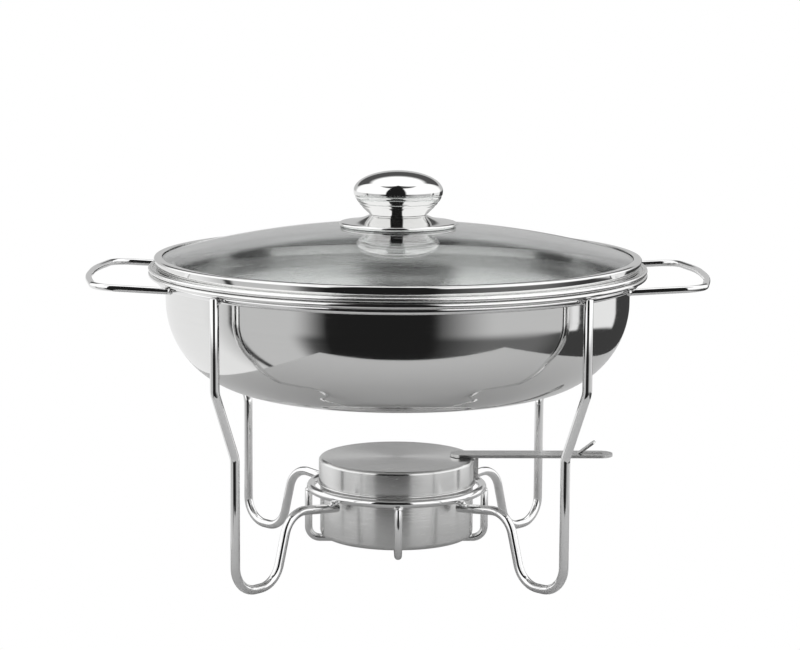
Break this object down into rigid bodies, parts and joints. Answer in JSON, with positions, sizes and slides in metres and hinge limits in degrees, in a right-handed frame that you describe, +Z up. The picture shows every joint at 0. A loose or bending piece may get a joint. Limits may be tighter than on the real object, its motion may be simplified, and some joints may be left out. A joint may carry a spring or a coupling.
{
  "type": "chafing dish",
  "caption": "Round buffet chafing dish: a wire stand with loop handles holds nested steel pans under a domed glass lid, above a fuel burner with a snuffer cap.",
  "frame": {"origin": "on the vertical centre line, on the plane that the four feet stand on", "axes": "+Z up, -X and +X through the middles of the two handles, -Y is the front"},
  "size_m": [0.3736, 0.3, 0.2391],
  "materials": {
    "chromed_wire": "bright, smooth drawn wire",
    "polished_pan_steel": "mirror-polished stainless sheet",
    "polished_lid_steel": "mirror-polished stainless sheet",
    "clear_glass": "clear tempered glass",
    "black_plastic": "matte moulded",
    "seal_rubber": "matte",
    "brushed_burner_steel": "brushed and drawn sheet, slightly dull"
  },
  "bodies": {
    "stand": {"top_ring": "chromed_wire", "burner_ring": "chromed_wire", "leg_front_left": "chromed_wire", "leg_front_right": "chromed_wire", "leg_rear_left": "chromed_wire", "leg_rear_right": "chromed_wire", "handle_left": "chromed_wire", "handle_right": "chromed_wire", "cradle_wire_lengthwise": "chromed_wire", "cradle_wire_crosswise": "chromed_wire"},
    "water_pan_body": {"water_pan": "polished_pan_steel"},
    "food_pan_body": {"food_pan": "polished_pan_steel"},
    "lid": {"glass_dome": "clear_glass", "lid_band": "polished_lid_steel", "knob_ball": "polished_lid_steel", "knob_skirt": "polished_lid_steel", "knob_spacer": "black_plastic", "knob_core": "black_plastic", "upper_seal": "seal_rubber", "lower_seal": "seal_rubber", "clamp_dish": "polished_lid_steel", "knob_screw": "polished_lid_steel"},
    "burner": {"burner_cup": "brushed_burner_steel"},
    "snuffer": {"snuffer_cap": "brushed_burner_steel", "handle_strap": "brushed_burner_steel", "strap_bracket": "brushed_burner_steel"}
  },
  "joints": [
    {"name": "water_pan_lift", "type": "slide", "parent": "stand", "child": "water_pan_body", "axis": [0, 0, 1], "range_m": [0, 0.08]},
    {"name": "food_pan_lift", "type": "slide", "parent": "water_pan_body", "child": "food_pan_body", "axis": [0, 0, 1], "range_m": [0, 0.06]},
    {"name": "lid_lift", "type": "slide", "parent": "food_pan_body", "child": "lid", "axis": [0, 0, 1], "range_m": [0, 0.04]},
    {"name": "burner_lift", "type": "slide", "parent": "stand", "child": "burner", "axis": [0, 0, 1], "range_m": [0, 0.0325]},
    {"name": "snuffer_lift", "type": "slide", "parent": "burner", "child": "snuffer", "axis": [0, 0, 1], "range_m": [0, 0.006]}
  ]
}
